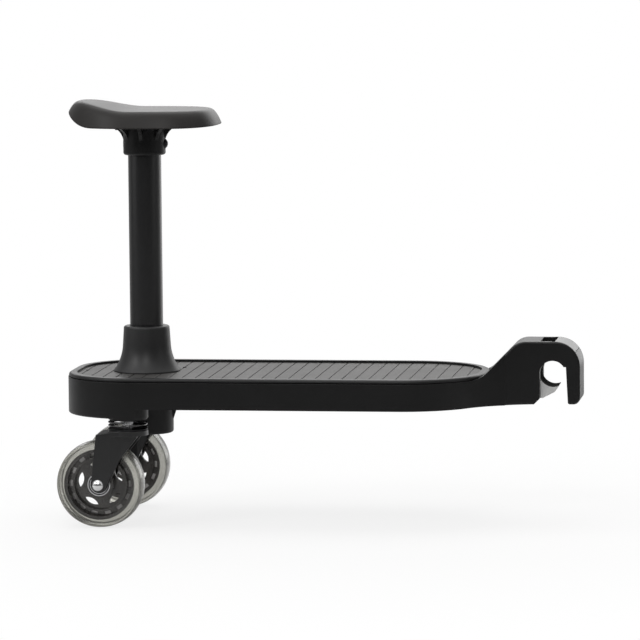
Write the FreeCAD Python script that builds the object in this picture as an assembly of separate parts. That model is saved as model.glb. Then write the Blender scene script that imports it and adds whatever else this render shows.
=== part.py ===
import FreeCAD, Part
import math
import os
from FreeCAD import Vector

# Buggy board with a lift-out saddle, in millimetres.
# Origin: the middle of the bar that the tow hook drops over.
# +X points forward, out of the hook; +Y to the rider's left; +Z up.

# Where the main datums lie
nose_to_bar = 63.0
bar_above_mat = 2.3
swivel_behind_post = 6.5
caster_inset = 17.0
trail = 27.0
tyre_crown_gap = 5.1

# Fits between pieces
running_fit = 0.05
slide_fit = 0.15
part_gap = 0.3
spring_gap = 0.2

# Deck frame
deck_width = 178.0
deck_rear_reach = 73.0
deck_rear_flat = 38.0
deck_nose_reach = 334.0
deck_nose_flat = 20.0
frame_below_mat = 1.9
skirt_wall = 3.2
skirt_height = 25.8
rear_skirt_height = 35.1
skirt_round = 1.6
cover_seat_depth = 2.5
deck_plate = 3.0
rib_wall = 2.2
rib_pitch = 45.0
rib_rise = 3.0
rib_start = 30.0
boss_radius = 19.6
boss_drop = 2.1
boss_round = 3.0
boss_height = 20.0
deck_screw_x = (-42.0, 52.5, 142.5, 232.5)
deck_screw_inset = 22.0
deck_screw_radius = 1.75
deck_screw_head_radius = 3.6
deck_screw_head_height = 2.2

# Deck cover and mat
cover_edge_inset = 0.6
cover_grip = 2.2
parting_gap = 0.9
lip_width = 7.8
lip_height = 2.2
lip_round = 2.7
mat_thickness = 1.6
mat_groove_pitch = 12.9
mat_groove_start = 5.6
mat_groove_width = 1.1
mat_groove_depth = 0.7
stud_radius = 1.7
stud_rise = 0.3
rear_stud_inset = 14.0
front_stud_x = 32.0
front_stud_y = 29.4

# Tow arm and hook
hook_width = 50.0
hook_top = 30.7
hook_reach = 26.3
hook_tip_drop = 29.4
bar_seat_radius = 12.5
throat_draft = 2.0
throat_ledge_x = 12.7
throat_ledge_z = 6.5
arm_split_x = -45.0
arm_foot_x = -86.0
arm_bend_x = -67.6
arm_slope = 45.7
arm_bend_round = 22.0
arm_crest_round = 18.0
hook_nose_round = 24.0
hook_tip_round = 6.5
throat_tip_round = 2.0
cheek_chamfer = 5.3
hook_edge_round = 1.8
cheek_lip = 2.2
neck_blend = 80.0
tongue_length = 42.0
tongue_half_width = 19.0
tongue_height = 11.0
hook_bolt_radius = 3.0
hook_bolt_flats = 9.5
hook_bolt_head_height = 3.5
hook_bolt_spread = 11.0
hook_bolt_pitch = 24.0

# Latch
pawl_width = 27.0
slot_gap = 0.6
pawl_pivot_z = 18.4
pawl_boss_radius = 4.6
pawl_bar_gap = 0.6
pawl_tip_x = 4.8
pawl_tip_z = -12.9
pawl_belly_x = 1.2
pawl_belly_z = -18.6
pawl_heel_x = -11.6
pawl_heel_z = -25.3
pawl_back_x = -18.6
pawl_back_low_z = -19.4
pawl_back_high_z = 4.0
pawl_shoulder_x = -9.5
pawl_shoulder_rise = 2.8
pawl_rounds = (0.4, 2.4, 3.0, 4.0, 12.0, 6.0)
pawl_cam_x = 3.6
pawl_cam_rise = 5.1
pawl_cam_radius = 2.0
pawl_open_angle = 32.0
pawl_pin_radius = 2.5
pawl_pin_length = 44.0
pawl_spring_wire = 1.0
pawl_spring_radius = 4.0
pawl_spring_turns = 3.25
pawl_spring_pitch = 1.6
window_back_x = -12.0
window_front_x = 1.7
window_half_width = 19.5
lever_thickness = 4.6
lever_end_angle = 36.0
lever_press_angle = 10.0
lever_gap = 0.4
lever_pin_radius = 2.0
lever_pin_inset = 6.6
lever_pin_angle = 35.0
lever_ear_radius = 4.4
lever_ear_width = 4.0
lever_ear_spread = 19.0

# Saddle, heights above the mat
post_radius = 16.0
post_wall = 2.0
seat_height = 239.7
bracket_depth = 29.4
bracket_tube_radius = 20.5
bracket_flange = 3.0
bracket_flare_radius = 30.0
bracket_gusset_foot_radius = 20.4
bracket_gusset_foot_drop = 15.2
bracket_gusset_waist_radius = 23.3
bracket_gusset_waist_drop = 8.4
bracket_gusset_reach = 29.6
bracket_gusset_count = 8
bracket_gusset_wall = 3.6
bracket_round = 2.4
seat_bolt_drop = 18.7
seat_bolt_radius = 3.0
seat_bolt_head_radius = 5.0
seat_bolt_head_height = 3.2
seat_bolt_sink = 0.6
seat_nut_flats = 10.0
seat_nut_height = 4.0
seat_base_thickness = 3.0
seat_base_length = 80.0
seat_base_width = 76.0
seat_base_corner = 22.0
seat_screw_radius = 2.0
seat_screw_head_radius = 3.4
seat_screw_head_height = 2.0
seat_screw_circle = 25.5
seat_screw_count = 4
seat_screw_angle = 22.5
seat_screw_grip = 2.4
pad_shoulder = 6.0
pad_shoulder_share = 0.45
pad_crown = 0.6
# Pad stations from rear to front: place along X, half width low, half width high, then underside and top
# above the bracket
pad_stations = (
    (-73.0, 19.0, 14.5, 11.5, 17.6),
    (-67.5, 33.0, 27.5, 8.2, 22.4),
    (-60.0, 43.0, 36.5, 5.0, 24.0),
    (-50.0, 51.0, 43.5, 1.6, 23.0),
    (-34.0, 59.0, 49.5, -0.9, 19.3),
    (-8.0, 63.0, 52.0, -1.1, 16.0),
    (30.0, 63.0, 51.5, -1.1, 15.4),
    (54.0, 55.5, 45.0, -0.9, 15.2),
    (67.0, 44.0, 34.0, -0.5, 13.1),
    (73.4, 30.0, 22.0, 0.2, 6.6),
)

# Post mounting, heights from the mat
socket_radius = 25.2
socket_wall = 3.2
socket_round = 2.6
socket_depth = 60.0
socket_floor = 3.0
socket_fin_reach = 38.6
socket_fin_wall = 3.0
socket_fin_foot = 47.0
socket_screw_radius = 2.0
socket_screw_head_radius = 3.5
socket_screw_head_height = 2.2
socket_flange_radius = 35.0
socket_flange = 2.6
socket_screw_circle = 30.5
socket_screw_count = 4
socket_screw_angle = 45.0
collar_height = 44.5
collar_top_radius = 22.1
collar_waist_radius = 23.3
collar_waist_height = 26.0
collar_flare_radius = 26.2
collar_flare_height = 12.2
collar_foot_radius = 32.3
collar_foot_edge = 1.2
collar_round = 2.2
collar_grip = 8.0
plug_length = 14.0
plug_flange = 2.0
plug_key_width = 5.0
plug_key_height = 2.0
plug_key_inset = 0.8

# Casters
spring_length = 8.2
spring_wire = 2.2
spring_radius = 18.0
spring_turns = 1.75
bush_radius = 8.0
bush_flange_radius = 12.0
bush_flange = 1.6
stem_radius = 5.0
stem_head_radius = 8.0
stem_head_height = 2.4
stem_top_room = 1.5
clip_radius = 8.5
clip_height = 1.6
spring_seat_radius = 19.2
spring_seat_height = 0.8
thrust_radius = 13.0
thrust_height = 0.6
crown_radius = 19.4
crown_height = 5.0
fork_rear_reach = 28.2
hood_start = 10.0
hood_drop = 3.0
fork_web = 3.0
fork_pad = 2.2
fork_pad_bevel = 9.3
crown_round = 1.2
fork_clear = 1.5
leg_pad_front = 14.5
leg_front_x = 11.5
leg_front_z = 1.8
leg_low_x = -5.4
leg_low_z = 22.9
leg_eye_radius = 6.6
leg_rounds = (3.0, 6.0, 5.0, 6.0, 5.0)
leg_pad_drop = 10.0
leg_pad_heel = 4.0
leg_pad_rounds = (5.0, 4.0, 4.0, 4.0)
leg_eye_clear = 0.2
axle_radius = 4.0
axle_head_radius = 5.6
axle_head_height = 3.2
axle_nut_flats = 13.0
axle_nut_height = 6.0
axle_end = 1.5
bearing_radius = 11.0
bearing_width = 7.0
bearing_set = 0.5
bearing_land = 3.0
bearing_shield_depth = 0.5
spacer_radius = 6.4
wheel_radius = 42.0
wheel_width = 24.0
tyre_depth = 8.0
tyre_shoulder_drop = 3.1
tyre_tread_drop = 1.0
tyre_tread_inset = 1.6
tyre_shoulder_bow = 0.29
tyre_seat_inset = 1.5
hub_rim_wall = 3.0
hub_rim_set = 1.0
hub_ring_gap = 4.5
hub_ring_wall = 1.9
hub_ring_width = 14.0
hub_web = 4.0
hub_barrel_radius = 14.0
hub_window_count = 14
window_long = 6.0
window_short = 3.2
window_pane = 1.0
hub_gap_count = 5
gap_length = 15.0
gap_width = 5.6
gap_start_angle = 170.0

# Datums worked out from the sizes above
tiny = 1e-6
near = 1e-3
along_x = Vector(1, 0, 0)
along_y = Vector(0, 1, 0)
along_z = Vector(0, 0, 1)
deck_nose_x = -nose_to_bar
post_x = deck_nose_x - deck_nose_reach
mat_z = -bar_above_mat
bracket_top = mat_z + seat_height
frame_top = mat_z - frame_below_mat
skirt_bottom = frame_top - skirt_height
rear_bottom = frame_top - rear_skirt_height
plate_top = frame_top - cover_seat_depth
plate_bottom = plate_top - deck_plate
deck_rear_x = post_x - deck_rear_reach
deck_rear_corner = (deck_width - deck_rear_flat) / 2
deck_nose_corner = (deck_width - deck_nose_flat) / 2
deck_screw_y = deck_width / 2 - deck_screw_inset
stud_places = ((deck_rear_x + rear_stud_inset, 0), (post_x + front_stud_x, front_stud_y))
nose_centre_x = deck_nose_x - deck_nose_corner
nose_centre_y = deck_nose_flat / 2
cover_bottom = frame_top + parting_gap
lip_top = mat_z + lip_height
mat_inset = cover_edge_inset + lip_width
mat_bottom = mat_z - mat_thickness
half_hook = hook_width / 2
pawl_pivot = Vector(0, 0, pawl_pivot_z)
half_slot = pawl_width / 2 + slot_gap
nose_x = hook_reach - hook_nose_round
nose_z = hook_top - hook_nose_round
lever_pin_reach = hook_nose_round - lever_pin_inset
lever_pin_x = nose_x + lever_pin_reach * math.cos(math.radians(lever_pin_angle))
lever_pin_z = nose_z + lever_pin_reach * math.sin(math.radians(lever_pin_angle))
lever_pivot = Vector(lever_pin_x, 0, lever_pin_z)
swivel_x = post_x - swivel_behind_post
swivel_y = deck_width / 2 - caster_inset
axle_x = swivel_x - trail
boss_bottom = rear_bottom - boss_drop
boss_top = boss_bottom + boss_height
spring_seat_top = boss_bottom - spring_length
thrust_top = spring_seat_top - spring_seat_height
crown_top = thrust_top - thrust_height
crown_bottom = crown_top - crown_height
axle_z = crown_bottom - tyre_crown_gap - wheel_radius
tyre_seat_radius = wheel_radius - tyre_depth
tyre_shoulder_radius = wheel_radius - tyre_shoulder_drop
tyre_tread_radius = wheel_radius - tyre_tread_drop
tyre_seat_width = wheel_width - 2 * tyre_seat_inset
hub_rim_width = tyre_seat_width - 2 * hub_rim_set
hub_rim_inner = tyre_seat_radius - hub_rim_wall
hub_ring_outer = hub_rim_inner - hub_ring_gap
hub_ring_inner = hub_ring_outer - hub_ring_wall
window_radius = (hub_rim_inner + hub_ring_outer) / 2
gap_radius = (hub_barrel_radius + hub_ring_inner) / 2
leg_inside = wheel_width / 2 + fork_clear
leg_outside = leg_inside + fork_web + fork_pad
hood_top = crown_top - hood_drop
leg_top = hood_top - crown_round
bore_radius = post_radius + slide_fit
socket_tube_radius = bore_radius + socket_wall
socket_bottom = mat_z - socket_depth
post_bottom = socket_bottom + socket_floor
deck_hole_radius = socket_tube_radius + part_gap
socket_top = mat_z + collar_height - collar_grip
collar_wall = collar_top_radius - deck_hole_radius


def block(x0, x1, y0, y1, z0, z1):
    return Part.makeBox(x1 - x0, y1 - y0, z1 - z0, Vector(x0, y0, z0))


def rod(radius, start, axis, length):
    return Part.makeCylinder(radius, length, start, axis)


def ring(outer, inner, start, axis, length):
    return rod(outer, start, axis, length).cut(rod(inner, start, axis, length))


def side(x, z):
    return Vector(x, 0, z)


# Corner points joined by straight runs, each corner rounded to its own radius (0 keeps it sharp)
def rounded_face(points, radii):
    count = len(points)
    bends = []
    for index, corner in enumerate(points):
        back = (points[index - 1] - corner).normalize()
        ahead = (points[(index + 1) % count] - corner).normalize()
        half_turn = back.getAngle(ahead) / 2
        reach = radii[index] / math.tan(half_turn)
        middle = (back + ahead).normalize() * (radii[index] / math.sin(half_turn) - radii[index])
        bends.append((corner + back * reach, corner + middle, corner + ahead * reach))
    edges = []
    for index, (start, middle, end) in enumerate(bends):
        if radii[index] > 0:
            edges.append(Part.Arc(start, middle, end).toShape())
        following = bends[(index + 1) % count][0]
        if (following - end).Length > tiny:
            edges.append(Part.makeLine(end, following))
    return Part.Face(Part.Wire(edges))


# An outline given as its start and then (end,) for a line or (middle, end) for an arc
def drawn_face(start, steps):
    edges = []
    here = start
    for step in steps:
        if len(step) == 1:
            edges.append(Part.makeLine(here, step[0]))
        else:
            edges.append(Part.Arc(here, step[0], step[1]).toShape())
        here = step[-1]
    return Part.Face(Part.Wire(edges))


def across(face, half_width):
    moved = face.copy()
    moved.translate(Vector(0, -half_width, 0))
    return moved.extrude(Vector(0, 2 * half_width, 0))


def spun(face, x, y):
    solid = face.revolve(Vector(0, 0, 0), along_z, 360)
    solid.translate(Vector(x, y, 0))
    return solid


def hexagon(flats, start, axis, height):
    corner = flats / math.sqrt(3)
    points = [Vector(corner * math.cos(turn * math.pi / 3), corner * math.sin(turn * math.pi / 3), 0)
              for turn in range(6)]
    solid = rounded_face(points, [0] * 6).extrude(Vector(0, 0, height))
    solid.Placement = FreeCAD.Placement(start, FreeCAD.Rotation(along_z, axis))
    return solid


def domed_head(radius, height, start, axis):
    ball = (radius ** 2 + height ** 2) / (2 * height)
    sphere = Part.makeSphere(ball, Vector(0, 0, height - ball))
    solid = sphere.common(block(-radius, radius, -radius, radius, 0, height))
    solid.Placement = FreeCAD.Placement(start, FreeCAD.Rotation(along_z, axis))
    return solid


def fused(shapes):
    return shapes[0].multiFuse(shapes[1:]).removeSplitter()


# Two arcs that leave one point and reach another along the given directions
def biarc(start, start_way, end, end_way):
    span = end - start
    total = start_way + end_way
    slack = 2 * (1 - start_way.dot(end_way))
    reach = (-span.dot(total) + math.sqrt(span.dot(total) ** 2 + slack * span.dot(span))) / slack
    joint = (start + end + (start_way - end_way) * reach) * 0.5
    edges = []
    for first, second, way in ((start, joint, start_way), (joint, end, None)):
        chord = second - first
        along = Vector(chord).normalize()
        leaving = way if way else along * (2 * along.dot(end_way)) - end_way
        bulge = leaving - along * leaving.dot(along)
        angle = leaving.getAngle(chord)
        middle = (first + second) * 0.5 + bulge.normalize() * (chord.Length / 2 * math.tan(angle / 2))
        edges.append(Part.Arc(first, middle, second).toShape())
    return edges


# A wire coil standing on z = 0 about the Z axis, one unbroken tube
def coil(radius, wire, turns, pitch, name):
    quarter = math.pi / 2
    rise = pitch / (2 * math.pi)

    def place(angle):
        return Vector(radius * math.cos(angle), radius * math.sin(angle), wire / 2 + rise * angle)

    def way(angle):
        return Vector(-radius * math.sin(angle), radius * math.cos(angle), rise).normalize()

    stops = [turns * 2 * math.pi * step / math.ceil(turns * 4) for step in range(math.ceil(turns * 4) + 1)]
    edges = []
    for first, second in zip(stops, stops[1:]):
        edges += biarc(place(first), way(first), place(second), way(second))
    section = Part.Wire(Part.makeCircle(wire / 2, place(0), way(0)))
    tube = Part.Wire(edges).makePipeShell([section], True, False)
    points = [place(turns * 2 * math.pi * step / 400) for step in range(401)]
    skip = int(400 / turns / 2)
    gap = min((points[i] - points[j]).Length for i in range(401) for j in range(i + skip, 401)) - wire
    expected = math.pi * (wire / 2) ** 2 * sum(edge.Length for edge in edges)
    print(name, "least gap %.2f mm, volume ratio %.4f" % (gap, tube.Volume / expected))
    return tube


# The deck's plan: a rounded rear end and a rounder nose, drawn in by the inset
def deck_face(inset, z):
    half = deck_width / 2 - inset
    rear = deck_rear_x + inset
    nose = deck_nose_x - inset
    rear_corner = deck_rear_corner - inset
    nose_corner = deck_nose_corner - inset
    points = [Vector(rear, -half, z), Vector(nose, -half, z), Vector(nose, half, z), Vector(rear, half, z)]
    return rounded_face(points, [rear_corner, nose_corner, nose_corner, rear_corner])


def deck_slab(inset, z0, z1):
    return deck_face(inset, z0).extrude(Vector(0, 0, z1 - z0))


# The neck's plan between the nose and x_end: hollow flanks that run from the nose into the arm's sides
def neck_slab(inset, x_start, x_end, z0, z1):
    blend = neck_blend + inset
    reach = deck_nose_corner + neck_blend
    centre_y = half_hook + neck_blend
    centre_x = nose_centre_x + math.sqrt(reach ** 2 - (centre_y - nose_centre_y) ** 2)
    share = (deck_nose_corner - inset) / reach
    touch_x = nose_centre_x + (centre_x - nose_centre_x) * share

    def flank(x):
        if x >= centre_x:
            return half_hook - inset
        return centre_y - math.sqrt(blend ** 2 - (centre_x - x) ** 2)

    first_x = max(x_start, touch_x)
    bend_end = min(x_end, centre_x)
    middle_x = (first_x + bend_end) / 2
    right = [Vector(first_x, -flank(first_x), z0), Vector(middle_x, -flank(middle_x), z0),
             Vector(bend_end, -flank(bend_end), z0)]
    left = [Vector(point.x, -point.y, z0) for point in right]
    steps = [(right[1], right[2])]
    if x_end > centre_x:
        steps.append((Vector(x_end, -flank(x_end), z0),))
    steps.append((Vector(x_end, flank(x_end), z0),))
    if x_end > centre_x:
        steps.append((left[2],))
    steps.append((left[1], left[0]))
    steps.append((right[0],))
    return drawn_face(right[0], steps).extrude(Vector(0, 0, z1 - z0))


# Side outline of the arm and hook, still without the mouth
def arm_side():
    crest_x = arm_bend_x + (hook_top - frame_top) / math.tan(math.radians(arm_slope))
    points = [side(arm_foot_x, skirt_bottom), side(arm_foot_x, frame_top), side(arm_bend_x, frame_top),
              side(crest_x, hook_top), side(hook_reach, hook_top), side(hook_reach, -hook_tip_drop),
              side(0, -hook_tip_drop), side(arm_split_x, skirt_bottom)]
    radii = [0, 0, arm_bend_round, arm_crest_round, hook_nose_round, hook_tip_round, 0, 0]
    return across(rounded_face(points, radii), deck_width / 2)


# The mouth: a round seat for the bar and the way in from below
def mouth():
    low = -hook_tip_drop
    half_mouth = bar_seat_radius
    entry = [side(-half_mouth, 0), side(0, throat_ledge_z), side(throat_ledge_x, throat_ledge_z),
             side(half_mouth + throat_draft, low), side(half_mouth + throat_draft, low - 1),
             side(-half_mouth - cheek_chamfer - 1, low - 1), side(-half_mouth, low + cheek_chamfer)]
    way_in = across(rounded_face(entry, [0] * len(entry)), hook_width)
    seat = rod(bar_seat_radius, Vector(0, -hook_width, 0), along_y, 2 * hook_width)
    return seat.fuse(way_in)


# Space between the cheeks for the pawl, its swing and the finger window on top
def pawl_slot():
    swing = math.radians(pawl_open_angle)
    back_x = pawl_back_x * math.cos(swing) - 2 * slot_gap
    back = back_x - (pawl_pivot_z - pawl_back_high_z) * math.sin(swing)
    low_back = back_x - (pawl_pivot_z - pawl_back_low_z) * math.sin(swing)
    roof = hook_top - lever_thickness
    high = hook_top + lever_thickness
    low = -2 * hook_tip_drop
    front = math.hypot(pawl_cam_x, pawl_cam_rise) + pawl_cam_radius + slot_gap
    points = [side(low_back, low), side(low_back, 0), side(back, roof), side(front, roof),
              side(throat_ledge_x, 0), side(0, 0), side(0, low)]
    slot = across(rounded_face(points, [0] * len(points)), half_slot)
    return slot.fuse(block(window_back_x, window_front_x, -window_half_width, window_half_width, roof, high))


# The pressed cap round the top corner, grown by a gap where it is used to cut its own recess
def lever_cap(outer, gap, half_width):
    inner = hook_nose_round - lever_thickness - gap
    start = math.radians(lever_end_angle) - gap / hook_nose_round
    middle = (start + math.pi / 2) / 2
    back = window_front_x + lever_gap - gap

    def at(radius, angle):
        return side(nose_x + radius * math.cos(angle), nose_z + radius * math.sin(angle))

    steps = [(at(outer, middle), at(outer, math.pi / 2)), (side(back, nose_z + outer),),
             (side(back, nose_z + inner),), (at(inner, math.pi / 2),), (at(inner, middle), at(inner, start)),
             (at(outer, start),)]
    return across(drawn_face(at(outer, start), steps), half_width)


def turned(shape, pivot, angle):
    copy = shape.copy()
    copy.rotate(pivot, along_y, angle)
    return copy


def lever_ears(radius, width):
    ears = []
    for way in (-1, 1):
        start = Vector(lever_pin_x, way * lever_ear_spread - width / 2, lever_pin_z)
        ears.append(rod(radius, start, along_y, width))
    return ears


def make_deck_frame():
    high = hook_top + 1
    shell = deck_slab(0, skirt_bottom, frame_top)
    rear = deck_slab(0, rear_bottom, frame_top).common(
        block(deck_rear_x - 1, swivel_x, -deck_width, deck_width, rear_bottom - 1, high))
    neck = neck_slab(0, arm_foot_x, arm_split_x, skirt_bottom, high).common(arm_side())
    cover_room = deck_slab(-part_gap, frame_top, high)
    body = fused([shell, rear, neck.cut(cover_room)])
    edges = [edge for edge in body.Edges
             if edge.BoundBox.ZMax < rear_bottom + near and edge.BoundBox.XMax < swivel_x - near]
    body = body.makeFillet(skirt_round, edges)
    hollow = deck_slab(skirt_wall, rear_bottom - 1, plate_bottom)
    neck_end = arm_split_x - skirt_wall
    hollow = hollow.fuse(neck_slab(skirt_wall, nose_centre_x, neck_end, skirt_bottom - 1, plate_bottom))
    seat = deck_slab(skirt_wall, plate_top, high)
    body = body.cut(hollow).cut(seat)
    ribs = []
    rib_low = skirt_bottom + rib_rise
    rib_x = post_x + rib_start
    while rib_x < deck_nose_x - rib_pitch / 2:
        ribs.append(block(rib_x, rib_x + rib_wall, -deck_width, deck_width, rib_low, plate_bottom))
        rib_x += rib_pitch
    for rib_y in (-rib_pitch, 0, rib_pitch):
        ribs.append(block(deck_rear_x, deck_nose_x, rib_y - rib_wall / 2, rib_y + rib_wall / 2, rib_low,
                          plate_bottom))
    ribs.append(block(swivel_x - skirt_wall, swivel_x, -deck_width, deck_width, rear_bottom, plate_bottom))
    room = deck_slab(skirt_wall / 2, rear_bottom - 1, frame_top)
    ribs = fused(ribs).common(room)
    bosses = []
    for way in (-1, 1):
        boss = rod(boss_radius, Vector(swivel_x, way * swivel_y, boss_bottom), along_z, boss_height)
        foot = [edge for edge in boss.Edges if edge.BoundBox.ZMax < boss_bottom + near]
        bosses.append(boss.makeFillet(boss_round, foot))
    bosses = fused(bosses).common(deck_slab(0, boss_bottom - 1, frame_top))
    body = fused([body, ribs, bosses])
    below = Vector(post_x, 0, rear_bottom - 1)
    body = body.cut(rod(socket_flange_radius + part_gap, below, along_z, plate_bottom - below.z))
    fin_half = socket_fin_wall / 2 + part_gap
    for turn in range(4):
        fin = block(0, socket_fin_reach + socket_wall, -fin_half, fin_half, below.z, plate_bottom)
        fin.rotate(Vector(0, 0, 0), along_z, 90 * turn)
        fin.translate(Vector(post_x, 0, 0))
        body = body.cut(fin)
    body = body.cut(rod(deck_hole_radius, below, along_z, frame_top - below.z))
    body = body.cut(hook_tongue(part_gap, arm_split_x + 1))
    for x, y in hook_bolt_places():
        body = body.cut(rod(hook_bolt_radius, Vector(x, y, plate_bottom), along_z, deck_plate + cover_grip))
    for way in (-1, 1):
        foot = Vector(swivel_x, way * swivel_y, boss_bottom)
        body = body.cut(rod(bush_radius, foot, along_z, boss_height))
        flange = Vector(swivel_x, way * swivel_y, boss_top)
        body = body.cut(rod(bush_flange_radius + part_gap, flange, along_z, plate_bottom - boss_top))
    for x, y in deck_screw_places():
        body = body.cut(rod(deck_screw_radius, Vector(x, y, plate_bottom - 1), along_z, deck_plate + 2))
    for x, y in circle_places(socket_screw_circle, socket_screw_count, socket_screw_angle):
        body = body.cut(rod(socket_screw_radius, Vector(x, y, plate_bottom - 1), along_z, deck_plate + 2))
    return body


def deck_screw_places():
    return [(post_x + x, way * deck_screw_y * (1 if x > 0 else 0.5)) for x in deck_screw_x for way in (-1, 1)]


def circle_places(radius, count, start):
    turns = [math.radians(start + 360 * turn / count) for turn in range(count)]
    return [(post_x + radius * math.cos(turn), radius * math.sin(turn)) for turn in turns]


def make_deck_screws():
    screws = []
    for x, y in deck_screw_places():
        head_bottom = Vector(x, y, plate_bottom - deck_screw_head_height)
        head = rod(deck_screw_head_radius, head_bottom, along_z, deck_screw_head_height)
        length = deck_screw_head_height + deck_plate + cover_grip
        shank = rod(deck_screw_radius, head_bottom, along_z, length)
        screws.append(fused([head, shank]))
    return Part.makeCompound(screws)


def make_deck_cover():
    plug = deck_slab(skirt_wall + slide_fit, plate_top, lip_top)
    flange = deck_slab(cover_edge_inset, cover_bottom, lip_top)
    top_edges = [edge for edge in flange.Edges if edge.BoundBox.ZMin > lip_top - near]
    flange = flange.makeFillet(lip_round, top_edges)
    cover = fused([plug.common(deck_slab(skirt_wall + slide_fit, plate_top, cover_bottom)), flange])
    cover = cover.cut(deck_slab(mat_inset, mat_bottom, lip_top + 1))
    cover = cover.cut(rod(deck_hole_radius, Vector(post_x, 0, plate_top - 1), along_z, skirt_height))
    screws = [(x, y, deck_screw_radius) for x, y in deck_screw_places()]
    places = circle_places(socket_screw_circle, socket_screw_count, socket_screw_angle)
    screws += [(x, y, socket_screw_radius) for x, y in places]
    screws += [(x, y, hook_bolt_radius) for x, y in hook_bolt_places()]
    for x, y, radius in screws:
        cover = cover.cut(rod(radius, Vector(x, y, plate_top), along_z, cover_grip))
    return cover


def make_standing_mat():
    mat = deck_slab(mat_inset + part_gap, mat_bottom, mat_z)
    grooves = []
    first = math.ceil((-deck_rear_reach - mat_groove_start) / mat_groove_pitch)
    last = math.floor((deck_nose_reach - mat_groove_start) / mat_groove_pitch)
    for step in range(first, last + 1):
        x = post_x + mat_groove_start + step * mat_groove_pitch
        grooves.append(block(x - mat_groove_width / 2, x + mat_groove_width / 2, -deck_width, deck_width,
                             mat_z - mat_groove_depth, mat_z + 1))
    mat = mat.cut(Part.makeCompound(grooves))
    mat = mat.cut(rod(deck_hole_radius, Vector(post_x, 0, mat_bottom - 1), along_z, mat_thickness + 2))
    for x, y in stud_places:
        mat = mat.cut(rod(stud_radius, Vector(x, y, mat_bottom - 1), along_z, mat_thickness + 2))
    return mat


def make_mat_studs():
    studs = [rod(stud_radius, Vector(x, y, mat_bottom), along_z, mat_thickness + stud_rise)
             for x, y in stud_places]
    return Part.makeCompound(studs)


# The tongue that plugs into the hollow neck, grown by a gap where it is used to clear the ribs
def hook_tongue(gap, x_end):
    half = tongue_half_width + gap
    low = plate_bottom - tongue_height - gap
    return block(arm_split_x - tongue_length - gap, x_end, -half, half, low, plate_bottom)


def hook_bolt_places():
    first = arm_split_x - tongue_length / 2 - hook_bolt_pitch / 2
    return [(first + step * hook_bolt_pitch, way * hook_bolt_spread) for step in (0, 1) for way in (-1, 1)]


# An edge of the arm's flanks along its slope, top and front
def is_arm_edge(edge):
    middle = edge.valueAt((edge.FirstParameter + edge.LastParameter) / 2)
    flank = abs(middle.y) > half_hook - near and edge.BoundBox.YLength < half_hook
    return flank and middle.z > hook_tip_round - hook_tip_drop and middle.x > arm_split_x + near


def make_tow_hook():
    hook = neck_slab(0, arm_split_x, hook_reach + 1, -2 * hook_tip_drop, hook_top + 1).common(arm_side())
    edges = [edge for edge in hook.Edges if is_arm_edge(edge)]
    hook = hook.makeFillet(hook_edge_round, edges)
    hook = hook.cut(mouth()).cut(pawl_slot())
    cap_room = lever_cap(2 * hook_nose_round, lever_gap, half_hook - cheek_lip)
    for step in range(4):
        hook = hook.cut(turned(cap_room, lever_pivot, -lever_press_angle * step / 3))
    for ear in lever_ears(lever_ear_radius + lever_gap, lever_ear_width + 2 * lever_gap):
        hook = hook.cut(ear)
    tip_edges = [edge for edge in hook.Edges
                 if abs(edge.BoundBox.ZMax + hook_tip_drop) < near
                 and abs(edge.BoundBox.XMin - bar_seat_radius - throat_draft) < near
                 and edge.BoundBox.XLength < near]
    hook = hook.makeFillet(throat_tip_round, tip_edges)
    hook = fused([hook, hook_tongue(0, arm_split_x + tongue_height / 2)])
    hook = hook.cut(make_pawl_pin()).cut(make_lever_pin())
    for x, y in hook_bolt_places():
        below = Vector(x, y, skirt_bottom)
        hook = hook.cut(rod(hook_bolt_radius, below, along_z, plate_bottom - skirt_bottom))
    return hook


def make_hook_bolts():
    bolts = []
    for x, y in hook_bolt_places():
        start = Vector(x, y, plate_bottom - tongue_height - hook_bolt_head_height)
        head = hexagon(hook_bolt_flats, start, along_z, hook_bolt_head_height)
        shank = rod(hook_bolt_radius, start, along_z, plate_top + cover_grip - start.z)
        bolts.append(fused([head, shank]))
    return Part.makeCompound(bolts)


def make_latch_pawl():
    half = pawl_width / 2
    shoulder_z = pawl_pivot_z + pawl_shoulder_rise
    points = [side(pawl_tip_x, pawl_tip_z), side(pawl_belly_x, pawl_belly_z),
              side(pawl_heel_x, pawl_heel_z), side(pawl_back_x, pawl_back_low_z),
              side(pawl_back_x, pawl_back_high_z),
              side(pawl_shoulder_x, shoulder_z), side(0, shoulder_z), side(0, 0), side(pawl_tip_x, 0)]
    body = across(rounded_face(points, list(pawl_rounds) + [0, 0, 0]), half)
    bar_room = rod(bar_seat_radius + pawl_bar_gap, Vector(0, -hook_width, 0), along_y, 2 * hook_width)
    boss = rod(pawl_boss_radius, pawl_pivot - along_y * half, along_y, pawl_width)
    cam = side(pawl_cam_x, pawl_pivot_z + pawl_cam_rise)
    cam_tip = rod(pawl_cam_radius, cam - along_y * half, along_y, pawl_width)
    offset = side(pawl_cam_rise, -pawl_cam_x).normalize() * pawl_cam_radius
    cam_points = [pawl_pivot + offset, cam + offset, cam - offset, pawl_pivot - offset]
    cam_arm = across(rounded_face(cam_points, [0] * 4), half)
    pawl = fused([body.cut(bar_room), boss, cam_arm, cam_tip])
    spring_room = rod(pawl_spring_radius + 2 * pawl_spring_wire, pawl_pivot, along_y,
                      (pawl_spring_turns + 1) * pawl_spring_pitch + pawl_spring_wire)
    pawl = pawl.cut(spring_room)
    return pawl.cut(rod(pawl_pin_radius + running_fit, pawl_pivot - along_y * half, along_y, pawl_width))


def make_pawl_pin():
    return rod(pawl_pin_radius, pawl_pivot - along_y * (pawl_pin_length / 2), along_y, pawl_pin_length)


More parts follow.
